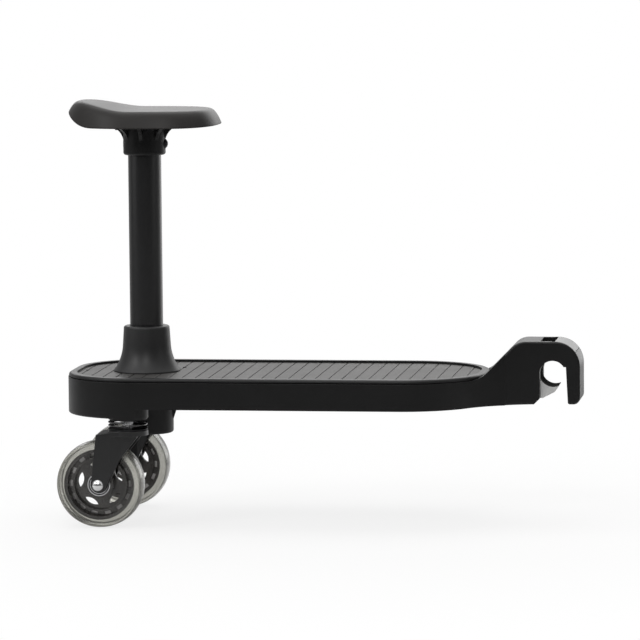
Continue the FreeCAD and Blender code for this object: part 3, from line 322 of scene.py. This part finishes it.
def startMaterial(name):
    material = bpy.data.materials.new(name)
    material.use_nodes = True
    return reopen(material)


def feeding(shader, label):
    return shader.inputs[label].links[0].from_socket


def addRing(tree, axis, ring, blur):
    values = {"axisX": axis[0], "axisZ": axis[1], "low": ring[0], "high": ring[1], "blur": blur}
    return useGroup(tree, axisRing, values)["mask"]


def mouldedPlastic(name, look):
    material, tree, shader = startMaterial(name)
    grain = useGroup(tree, mouldGrain, look)
    edge = useGroup(tree, edgeWearAndHighlight, look)
    feedAll(tree, shader, {
        # paler edges from the edge mask: partly wear, partly a painted edge highlight
        "Base Color": addBlend(tree, edge["mask"], grain["colour"], look["wornAndHighlitEdge"]),
        "Roughness": grain["rough"],
        "Normal": addBump(tree, look, grain["height"], edge["normal"]),
        "Specular IOR Level": look["gloss"],
    })
    return material


def dress(material, *names):
    for name in names:
        piece = nodes[name]
        if not piece.material_slots:
            piece.data.materials.append(material)
        for place in piece.material_slots:
            place.material = material


# deck: satin black mouldings, with lengths in metres
frameLook = {
    "base": (0.0045, 0.0045, 0.0047), "shift": 0.35, "rough": 0.40, "roughShift": 0.12,
    "patches": 26.0, "grain": 2100.0, "edge": 0.0009, "edgeGain": 1.2, "wornAndHighlitEdge": (0.03, 0.03, 0.03),
    "bump": 0.18, "depth": 0.00005, "gloss": 0.28,
}
coverLook = dict(frameLook, base=(0.010, 0.010, 0.0103), edge=0.0006, gloss=0.30)
dress(mouldedPlastic("frameBlack", frameLook), "deck_frame")
dress(mouldedPlastic("coverBlack", coverLook), "deck_cover")

# hook: arm, paler lever cap and grey pawl; the bar's axis runs through the frame's origin
barAxis = (0.0, 0.0)
hookLook = dict(frameLook, base=(0.0055, 0.0055, 0.0057), edge=0.0008)
leverLook = dict(frameLook, base=(0.29, 0.29, 0.286), rough=0.44, shift=0.12, edge=0.0005,
                 wornAndHighlitEdge=(0.36, 0.36, 0.35))
pawlLook = dict(frameLook, base=(0.74, 0.74, 0.73), rough=0.42, shift=0.12, edge=0.0005,
                wornAndHighlitEdge=(0.80, 0.80, 0.79), gloss=0.0, hollowColour=(0.07, 0.07, 0.068),
                hollowRing=(-0.001, 0.01385), blur=0.00005)


# the pawl's hollow face is darker and duller, within a set distance of the bar's axis
def darkHollowPlastic(name, look):
    material, tree, shader = reopen(mouldedPlastic(name, look))
    hollowMask = addRing(tree, barAxis, look["hollowRing"], look["blur"])
    feedAll(tree, shader, {
        "Base Color": addBlend(tree, hollowMask, feeding(shader, "Base Color"), look["hollowColour"]),
        "Roughness": addMath(tree, "MAXIMUM", feeding(shader, "Roughness"), hollowMask),
    })
    return material


dress(mouldedPlastic("hookBlack", hookLook), "tow_hook")
dress(mouldedPlastic("leverGrey", leverLook), "release_lever")
dress(darkHollowPlastic("pawlGrey", pawlLook), "latch_pawl")

# post mounting and seat bracket
socketLook = dict(frameLook, base=(0.011, 0.011, 0.0115), rough=0.45)
collarLook = dict(frameLook, base=(0.020, 0.020, 0.0205), rough=0.44, patches=40.0, bump=0.25, gloss=0.4)
bracketLook = dict(frameLook, base=(0.008, 0.008, 0.0083), rough=0.48, bump=0.28)
dress(mouldedPlastic("socketBlack", socketLook), "post_socket", "post_end_plug")
dress(mouldedPlastic("collarBlack", collarLook), "post_collar")
dress(mouldedPlastic("bracketBlack", bracketLook), "seat_bracket", "seat_base")

# casters and mat: forks, bushes and studs
forkLook = dict(frameLook, base=(0.009, 0.009, 0.0094), rough=0.30, edge=0.0008, edgeGain=2.0, gloss=0.45,
                wornAndHighlitEdge=(0.05, 0.05, 0.05))
bushLook = dict(frameLook, base=(0.55, 0.55, 0.52), shift=0.08, rough=0.36, wornAndHighlitEdge=(0.6, 0.6, 0.58))
studLook = dict(frameLook, base=(0.003, 0.003, 0.003), rough=0.8, gloss=0.02, wornAndHighlitEdge=(0.004, 0.004, 0.004))
dress(mouldedPlastic("forkBlack", forkLook), "right_fork", "left_fork")
dress(mouldedPlastic("bushWhite", bushLook), "right_bush", "left_bush")
dress(mouldedPlastic("studBlack", studLook), "mat_studs")
print("plastics dressed")


# standing mat: dull rubber with a fine pebble, and paler edges that are partly trodden wear and partly a
# painted highlight
matLook = {
    "base": (0.046, 0.044, 0.042), "shift": 0.3, "rough": 0.54, "roughShift": 0.16, "gloss": 0.34,
    "patches": 18.0, "grain": 2600.0, "pebble": 1400.0, "pebbleSoft": 0.0, "pebbleRise": 0.6,
    "bump": 0.35, "depth": 0.00006, "edge": 0.0004, "edgeGain": 1.5, "wornAndHighlitEdge": (0.09, 0.09, 0.09),
}


def matRubber(look):
    material, tree, shader = startMaterial("matRubber")
    grain = useGroup(tree, mouldGrain, look)
    edge = useGroup(tree, edgeWearAndHighlight, look)
    height = addMath(tree, "ADD", useGroup(tree, pebbleSkin, look)["height"], grain["height"])
    feedAll(tree, shader, {
        # paler edges from the edge mask: partly wear, partly a painted edge highlight
        "Base Color": addBlend(tree, edge["mask"], grain["colour"], look["wornAndHighlitEdge"]),
        "Roughness": grain["rough"],
        "Normal": addBump(tree, look, height, edge["normal"]),
        "Specular IOR Level": look["gloss"],
    })
    return material


dress(matRubber(matLook), "standing_mat")


# post: powder paint over tube, with its slight orange peel
paintLook = {
    "base": (0.0075, 0.0075, 0.008), "shift": 0.3, "rough": 0.34, "roughShift": 0.1, "patches": 14.0,
    "grain": 900.0, "bump": 0.25, "depth": 0.00008, "edge": 0.0006, "edgeGain": 1.0, "wornAndHighlitEdge": (0.04, 0.04, 0.04),
    "gloss": 0.5, "coat": 0.15, "coatRough": 0.3,
}


def postPaint(look):
    material, tree, shader = reopen(mouldedPlastic("postPaint", look))
    feedAll(tree, shader, {"Coat Weight": look["coat"], "Coat Roughness": look["coatRough"]})
    return material


dress(postPaint(paintLook), "seat_post")


# metals: plain and blackened fasteners, chromed axle bolts, lacquered springs
steelLook = {
    "base": (0.52, 0.52, 0.53), "rough": 0.28, "spread": 0.2, "lines": 1200.0, "bump": 0.2, "depth": 0.00003,
    "edge": 0.0003, "edgeGain": 1.4, "wornAndHighlitEdge": (0.7, 0.7, 0.7), "metal": 1.0, "coat": 0.0, "coatRough": 0.08,
}
blackSteelLook = dict(steelLook, base=(0.03, 0.03, 0.032), wornAndHighlitEdge=(0.12, 0.12, 0.12), rough=0.38)
chromeLook = dict(steelLook, base=(0.68, 0.68, 0.69), wornAndHighlitEdge=(0.8, 0.8, 0.8), rough=0.24, spread=0.06,
                  bump=0.05)
lacquerLook = dict(steelLook, base=(0.006, 0.006, 0.006), wornAndHighlitEdge=(0.03, 0.03, 0.03), rough=0.22,
                   metal=0.0, coat=0.8, bump=0.1)


def metal(name, look):
    material, tree, shader = startMaterial(name)
    line = useGroup(tree, turnedLines, look)
    edge = useGroup(tree, edgeWearAndHighlight, look)
    feedAll(tree, shader, {
        # paler edges from the edge mask: partly wear, partly a painted edge highlight
        "Base Color": addBlend(tree, edge["mask"], look["base"], look["wornAndHighlitEdge"]),
        "Roughness": line["rough"],
        "Normal": addBump(tree, look, line["height"], edge["normal"]),
        "Metallic": look["metal"],
        "Coat Weight": look["coat"],
        "Coat Roughness": look["coatRough"],
    })
    return material


plainSteel = metal("plainSteel", steelLook)
blackSteel = metal("blackSteel", blackSteelLook)
axleChrome = metal("axleChrome", chromeLook)
springLacquer = metal("springLacquer", lacquerLook)
dress(plainSteel, "deck_screws", "socket_screws", "hook_bolts", "pawl_pin", "lever_pin", "pawl_spring")
dress(blackSteel, "seat_bolt", "seat_nut", "seat_screws")

# bearings: two bright ring edges, at the races, on a dark shield
bearingLook = dict(steelLook, shield=(0.02, 0.02, 0.021), outerRing=(0.0101, 0.0112),
                   innerRing=(0.0083, 0.0089), blur=0.0001)
tyreLow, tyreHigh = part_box("right_tyre")
wheelMiddle = (tyreLow + tyreHigh) / 2
axleAxis = (wheelMiddle.x, wheelMiddle.z)


def shieldedBearing(look):
    material, tree, shader = reopen(metal("shieldedBearing", look))
    outer = addRing(tree, axleAxis, look["outerRing"], look["blur"])
    inner = addRing(tree, axleAxis, look["innerRing"], look["blur"])
    bright = addMath(tree, "MAXIMUM", outer, inner)
    feedAll(tree, shader, {
        "Base Color": addBlend(tree, bright, look["shield"], feeding(shader, "Base Color")),
        "Metallic": bright,
    })
    return material


bearingSteel = shieldedBearing(bearingLook)
for side in sides:
    dress(bearingSteel, side + "bearings")
    dress(plainSteel, side + "stem", side + "stem_clip", side + "thrust_washer", side + "spacer",
          side + "axle_nut")
    dress(blackSteel, side + "spring_seat")
    dress(axleChrome, side + "axle_bolt")
print("metals dressed")


# wheels: smoked clear hub and a paler clear tyre
tyreLook = {
    "base": (0.46, 0.455, 0.415), "shift": 0.12, "rough": 0.18, "spread": 0.06, "bump": 0.10,
    "depth": 0.0004, "clear": 0.78, "ior": 1.45,
}
hubLook = {
    "base": (0.068, 0.064, 0.060), "shift": 0.2, "rough": 0.20, "spread": 0.10, "bump": 0.10,
    "depth": 0.0004, "clear": 0.55, "ior": 1.49, "pane": (0.42, 0.41, 0.40), "paneRing": (0.0270, 0.0305),
    "paneHalf": 0.0008, "blur": 0.0002,
}


def clearPlastic(name, look):
    material, tree, shader = startMaterial(name)
    melt = useGroup(tree, meltRipple, look)
    feedAll(tree, shader, {
        "Base Color": melt["colour"],
        "Roughness": melt["rough"],
        "Normal": addBump(tree, look, melt["height"]),
        "Transmission Weight": look["clear"],
        "IOR": look["ior"],
    })
    return material


# the hub's thin window panes are paler, near the middle plane of the wheel
def panedHub(look):
    material, tree, shader = reopen(clearPlastic("smokedHub", look))
    ring = addRing(tree, axleAxis, look["paneRing"], look["blur"])
    outward = addMath(tree, "ABSOLUTE", splitPlace(tree, ownPlace(tree))["Y"])
    aside = addMath(tree, "ABSOLUTE", addMath(tree, "SUBTRACT", outward, abs(wheelMiddle.y)))
    pane = addMath(tree, "MULTIPLY", ring, addMath(tree, "LESS_THAN", aside, look["paneHalf"]))
    paned = addBlend(tree, pane, feeding(shader, "Base Color"), look["pane"])
    feed(tree, shader.inputs["Base Color"], paned)
    return material


clearTyre = clearPlastic("clearTyre", tyreLook)
smokedHub = panedHub(hubLook)
for side in sides:
    dress(clearTyre, side + "tyre")
    dress(smokedHub, side + "hub")
print("wheels dressed")


# saddle: self-skinned foam, in mm, with lengths from the post and heights above the mat
saddle = {
    "rearReach": 73.0, "frontReach": 73.8, "halfWidth": 63.0, "rearPlan": 2.2, "frontPlan": 2.9,
    "rearInset": 12.0, "frontInset": 12.5, "sideInset": 10.5, "topHeight": 254.6, "edgeHeight": 238.4,
    "humpRise": 9.0, "humpFrom": -8.0, "humpTo": -66.0,
    "rearLift": 14.4, "liftFrom": -42.0, "liftPower": 2.3, "frontLift": 0.9, "frontFrom": 40.0,
    "pocketLength": 41.2, "pocketWidth": 39.2, "pocketPlan": 4.2, "pocketTop": 243.1, "pocketLip": 0.5,
    "underRise": 0.4, "crown": 0.5, "around": 112,
    "roofSteps": (0.35, 0.7, 1.0), "underSteps": (0.5, 0.86, 0.97), "topSteps": (0.9, 0.75, 0.55, 0.35, 0.15),
    # side profiles, as shares of the way out to the edge and down to it
    "flank": ((0.0, 0.0), (0.16, 0.02), (0.30, 0.07), (0.40, 0.14), (0.50, 0.23), (0.60, 0.34),
              (0.73, 0.53), (0.85, 0.73), (0.94, 0.89), (0.99, 0.97)),
    "tip": ((0.0, 0.0), (0.18, 0.03), (0.34, 0.09), (0.48, 0.19), (0.60, 0.32), (0.71, 0.46),
            (0.81, 0.62), (0.89, 0.77), (0.95, 0.89), (0.99, 0.97)),
}
postLow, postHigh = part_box("seat_post")
postX = (postLow.x + postHigh.x) / 2
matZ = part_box("standing_mat")[1].z


def easedShare(share):
    share = min(max(share, 0.0), 1.0)
    return share * share * (3 - 2 * share)


def between(first, second, share):
    return [start + (end - start) * share for start, end in zip(first, second)]


def saddleTop(x):
    rise = easedShare((saddle["humpFrom"] - x) / (saddle["humpFrom"] - saddle["humpTo"]))
    return saddle["topHeight"] + saddle["humpRise"] * rise


def saddleEdge(x):
    rear = max(0.0, (saddle["liftFrom"] - x) / (saddle["liftFrom"] + saddle["rearReach"]))
    front = max(0.0, (x - saddle["frontFrom"]) / (saddle["frontReach"] - saddle["frontFrom"]))
    lift = saddle["rearLift"] * rear ** saddle["liftPower"] + saddle["frontLift"] * front ** 2
    return saddle["edgeHeight"] + lift


def planPoint(turn, rear, front, halfWidth, rearPlan, frontPlan):
    along, across = math.cos(turn), math.sin(turn)
    reach, power = (front, frontPlan) if along > 0 else (rear, rearPlan)
    x = math.copysign(abs(along) ** (2 / power), along) * reach
    return x, math.copysign(abs(across) ** (2 / power), across) * halfWidth


# roof of the pocket over the base plate, and the pocket's lip
def pocketRings(pocket):
    rings = []
    for share in saddle["roofSteps"]:
        rings.append([(x * share, y * share, saddle["pocketTop"]) for x, y in pocket])
    rings.append([(x, y, saddleEdge(x) + saddle["pocketLip"]) for x, y in pocket])
    return rings


def underRings(pocket, outer):
    rings = []
    for share in saddle["underSteps"]:
        flat = [between(near, far, share) for near, far in zip(pocket, outer)]
        rings.append([(x, y, saddleEdge(x) + saddle["underRise"] * (1 - share)) for x, y in flat])
    return rings


# up the side, with the flank's profile blended into the tip's at front and rear
def sideRings(turns, inner, outer):
    rings = []
    for flank, tip in zip(reversed(saddle["flank"]), reversed(saddle["tip"])):
        ring = []
        for turn, near, far in zip(turns, inner, outer):
            out, down = between(tip, flank, math.sin(turn) ** 2)
            x, y = between(near, far, out)
            top, low = saddleTop(near[0]), saddleEdge(far[0])
            ring.append((x, y, top + (low - top) * down))
        rings.append(ring)
    return rings


def topRings(inner):
    rings = []
    for share in saddle["topSteps"]:
        crown = saddle["crown"] * (1 - share ** 2)
        rings.append([(x * share, y * share, saddleTop(x * share) + crown) for x, y in inner])
    return rings


def saddleRings():
    turns = [2 * math.pi * step / saddle["around"] for step in range(saddle["around"])]
    rear, front, half = saddle["rearReach"], saddle["frontReach"], saddle["halfWidth"]
    plans = saddle["rearPlan"], saddle["frontPlan"]
    outer = [planPoint(turn, rear, front, half, *plans) for turn in turns]
    inner = [planPoint(turn, rear - saddle["rearInset"], front - saddle["frontInset"],
                       half - saddle["sideInset"], *plans) for turn in turns]
    pocket = [planPoint(turn, saddle["pocketLength"], saddle["pocketLength"], saddle["pocketWidth"],
                        saddle["pocketPlan"], saddle["pocketPlan"]) for turn in turns]
    lower = pocketRings(pocket) + underRings(pocket, outer)
    return lower + sideRings(turns, inner, outer) + topRings(inner)


def addPiece(name, mesh, material):
    for face in mesh.faces:
        face.smooth = True
    data = bpy.data.meshes.new(name)
    mesh.to_mesh(data)
    mesh.free()
    data.materials.append(material)
    piece = bpy.data.objects.new(name, data)
    bpy.context.scene.collection.objects.link(piece)
    return piece


def joinRings(mesh, rings):
    made = [[mesh.verts.new(point) for point in ring] for ring in rings]
    for first, second in zip(made, made[1:]):
        for step in range(len(first)):
            after = (step + 1) % len(first)
            mesh.faces.new((first[step], first[after], second[after], second[step]))
    return made


def buildSaddle(material):
    mesh = bmesh.new()
    rings = [[(postX + x * mm, y * mm, matZ + z * mm) for x, y, z in ring] for ring in saddleRings()]
    made = joinRings(mesh, rings)
    for ring in (made[0], made[-1]):  # each end closes on a pole
        pole = mesh.verts.new(sum((vert.co for vert in ring), Vector()) / len(ring))
        for step in range(len(ring)):
            mesh.faces.new((ring[step], ring[(step + 1) % len(ring)], pole))
    bmesh.ops.recalc_face_normals(mesh, faces=mesh.faces)
    piece = addPiece("saddlePad", mesh, material)
    smoother = piece.modifiers.new("smoother", "SUBSURF")
    smoother.levels = 1
    smoother.render_levels = 1
    return piece


skinLook = {
    "base": (0.026, 0.0243, 0.0232), "shift": 0.22, "rough": 0.42, "roughShift": 0.10, "patches": 22.0,
    "grain": 2400.0, "pebble": 950.0, "pebbleSoft": 1.0, "pebbleRise": -0.9, "bump": 0.16,
    "depth": 0.00008, "gloss": 0.20,
}


def foamSkin(look):
    material, tree, shader = startMaterial("foamSkin")
    grain = useGroup(tree, mouldGrain, look)
    height = addMath(tree, "ADD", useGroup(tree, pebbleSkin, look)["height"], grain["height"])
    feedAll(tree, shader, {
        "Base Color": grain["colour"],
        "Roughness": grain["rough"],
        "Normal": addBump(tree, look, height),
        "Specular IOR Level": look["gloss"],
    })
    return material


saddlePad = buildSaddle(foamSkin(skinLook))
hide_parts("seat_pad")
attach(saddlePad, "saddle")
print("saddle built")


# caster springs, in mm: under two turns between the boss and the spring seat
coilLook = {
    "radius": 18.0, "wire": 2.2, "turns": 1.75, "steps": 160, "facets": 20, "gap": 0.2, "travel": 1.5,
}


def buildCoil(name, middle, low, high, material):
    mesh = bmesh.new()
    wireRadius = coilLook["wire"] * mm / 2
    radius = coilLook["radius"] * mm
    whole = coilLook["turns"] * 2 * math.pi
    climb = (high - low - 2 * wireRadius) / whole
    rings = []
    for step in range(coilLook["steps"] + 1):
        angle = whole * step / coilLook["steps"]
        outward = Vector((math.cos(angle), math.sin(angle), 0))
        onward = Vector((-radius * math.sin(angle), radius * math.cos(angle), climb)).normalized()
        upward = outward.cross(onward)
        centre = Vector((middle.x, middle.y, low + wireRadius + climb * angle)) + outward * radius
        ring = []
        for facet in range(coilLook["facets"]):
            turn = 2 * math.pi * facet / coilLook["facets"]
            across, along = wireRadius * math.cos(turn), wireRadius * math.sin(turn)
            ring.append(centre + outward * across + upward * along)
        rings.append(ring)
    made = joinRings(mesh, rings)
    mesh.faces.new(made[0])
    mesh.faces.new(reversed(made[-1]))
    bmesh.ops.recalc_face_normals(mesh, faces=mesh.faces)
    return addPiece(name, mesh, material)


for side in sides:
    springLow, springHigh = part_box(side + "spring")
    middle = (springLow + springHigh) / 2
    coil = buildCoil(side + "coil", middle, springLow.z, springHigh.z, springLacquer)
    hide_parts(side + "spring")
    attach(coil, "board")
    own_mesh(coil)
print("springs built")


# studio: white surround, soft light from above and behind, and two fills from the front
studioTarget = (-0.22, 0.0, 0.0)
softboxes = (
    ("topSoftbox", (-0.45, 0.25, 1.55), (1.5, 1.2), 13.0),
    ("backSoftbox", (-0.2, 1.6, 0.75), (2.0, 0.9), 9.0),
    ("leftSoftbox", (-1.7, -0.5, 0.6), (0.9, 1.2), 3.0),
    ("rightSoftbox", (1.6, -0.5, 0.6), (0.9, 1.2), 2.5),
    ("backRightSoftbox", (0.5, 1.6, 0.1), (0.8, 0.5), 2.0),
    ("rearFillSoftbox", (-2.1, -1.7, 1.6), (0.6, 0.9), 16.0),
    ("foreFillSoftbox", (-0.2, -2.4, 1.7), (0.5, 0.9), 14.0),
)


def seenDirectly(tree, *kinds):
    rays = tree.nodes.new("ShaderNodeLightPath")
    share = rays.outputs[kinds[0]]
    for kind in kinds[1:]:
        share = addMath(tree, "MAXIMUM", share, rays.outputs[kind])
    return share


# paper floor: catches the soft shadow near the wheels and fades to white
paperLook = {
    "base": (0.84, 0.84, 0.835), "shift": 0.02, "rough": 0.85, "roughShift": 0.05, "patches": 3.0,
    "grain": 900.0, "gloss": 0.1, "glow": 0.8, "fadeFrom": 0.25, "fadeTo": 0.7, "half": 0.85, "drop": 0.0002,
}


def floorPaper(look, middle):
    material, tree, shader = startMaterial("paperFloor")
    grain = useGroup(tree, mouldGrain, look)
    feedAll(tree, shader, {
        "Base Color": grain["colour"],
        "Roughness": grain["rough"],
        "Specular IOR Level": look["gloss"],
    })
    away = tree.nodes.new("ShaderNodeVectorMath")
    away.operation = "DISTANCE"
    feed(tree, away.inputs[0], ownPlace(tree))
    feed(tree, away.inputs[1], middle)
    fade = addRange(tree, away.outputs["Value"], look["fadeFrom"], look["fadeTo"], look["glow"], 1.0)
    seen = seenDirectly(tree, "Is Camera Ray", "Is Transmission Ray")
    white = tree.nodes.new("ShaderNodeEmission")
    mix = tree.nodes.new("ShaderNodeMixShader")
    sources = (addMath(tree, "MULTIPLY", seen, fade), shader.outputs[0], white.outputs[0])
    for socket, source in zip(mix.inputs, sources):
        feed(tree, socket, source)
    feed(tree, tree.nodes["Material Output"].inputs["Surface"], mix.outputs[0])
    return material


def buildFloor(look):
    x, y, lowest = studioTarget[0], studioTarget[1], cadBox[0][2]
    mesh = bmesh.new()
    for right, back in ((-1, -1), (1, -1), (1, 1), (-1, 1)):
        mesh.verts.new((x + right * look["half"], y + back * look["half"], lowest - look["drop"]))
    mesh.faces.new(mesh.verts)
    addPiece("studioFloor", mesh, floorPaper(look, (x, y, lowest)))


roomLook = {
    "level": 0.60, "cameraSide": 0.05, "backLevel": 0.5, "backFrom": -0.3, "backTo": 0.8,
    "ceilingFrom": 0.35, "ceilingTo": 0.85,
}


def buildRoom(look):
    world = bpy.data.worlds.new("studioRoom")
    bpy.context.scene.world = world
    world.use_nodes = True
    tree = world.node_tree
    way = splitPlace(tree, tree.nodes.new("ShaderNodeTexCoord").outputs["Generated"])
    behind = addRange(tree, way["Y"], look["backFrom"], look["backTo"], look["cameraSide"], look["backLevel"])
    above = addRange(tree, way["Z"], look["ceilingFrom"], look["ceilingTo"], look["cameraSide"], 1.0)
    room = addMath(tree, "MAXIMUM", behind, above)
    mirrored = addMath(tree, "MULTIPLY", room, seenDirectly(tree, "Is Glossy Ray"))
    lit = addMath(tree, "MAXIMUM", addMath(tree, "MULTIPLY", room, look["level"]), mirrored)
    clear = seenDirectly(tree, "Is Camera Ray", "Is Transmission Ray")
    strength = addMath(tree, "MAXIMUM", lit, clear)
    feedAll(tree, tree.nodes["Background"], {"Color": (1, 1, 1), "Strength": strength})


def hangSoftbox(name, place, size, power):
    lamp = bpy.data.lights.new(name, "AREA")
    lamp.shape = "RECTANGLE"
    lamp.size, lamp.size_y = size
    lamp.energy = power
    box = bpy.data.objects.new(name, lamp)
    box.location = place
    box.rotation_mode = "QUATERNION"
    box.rotation_quaternion = (Vector(studioTarget) - Vector(place)).to_track_quat("-Z", "Y")
    box.visible_camera = False
    bpy.context.scene.collection.objects.link(box)


buildFloor(paperLook)
buildRoom(roomLook)
for softbox in softboxes:
    hangSoftbox(*softbox)
bpy.context.scene.view_settings.view_transform = "Standard"
print("studio lit")
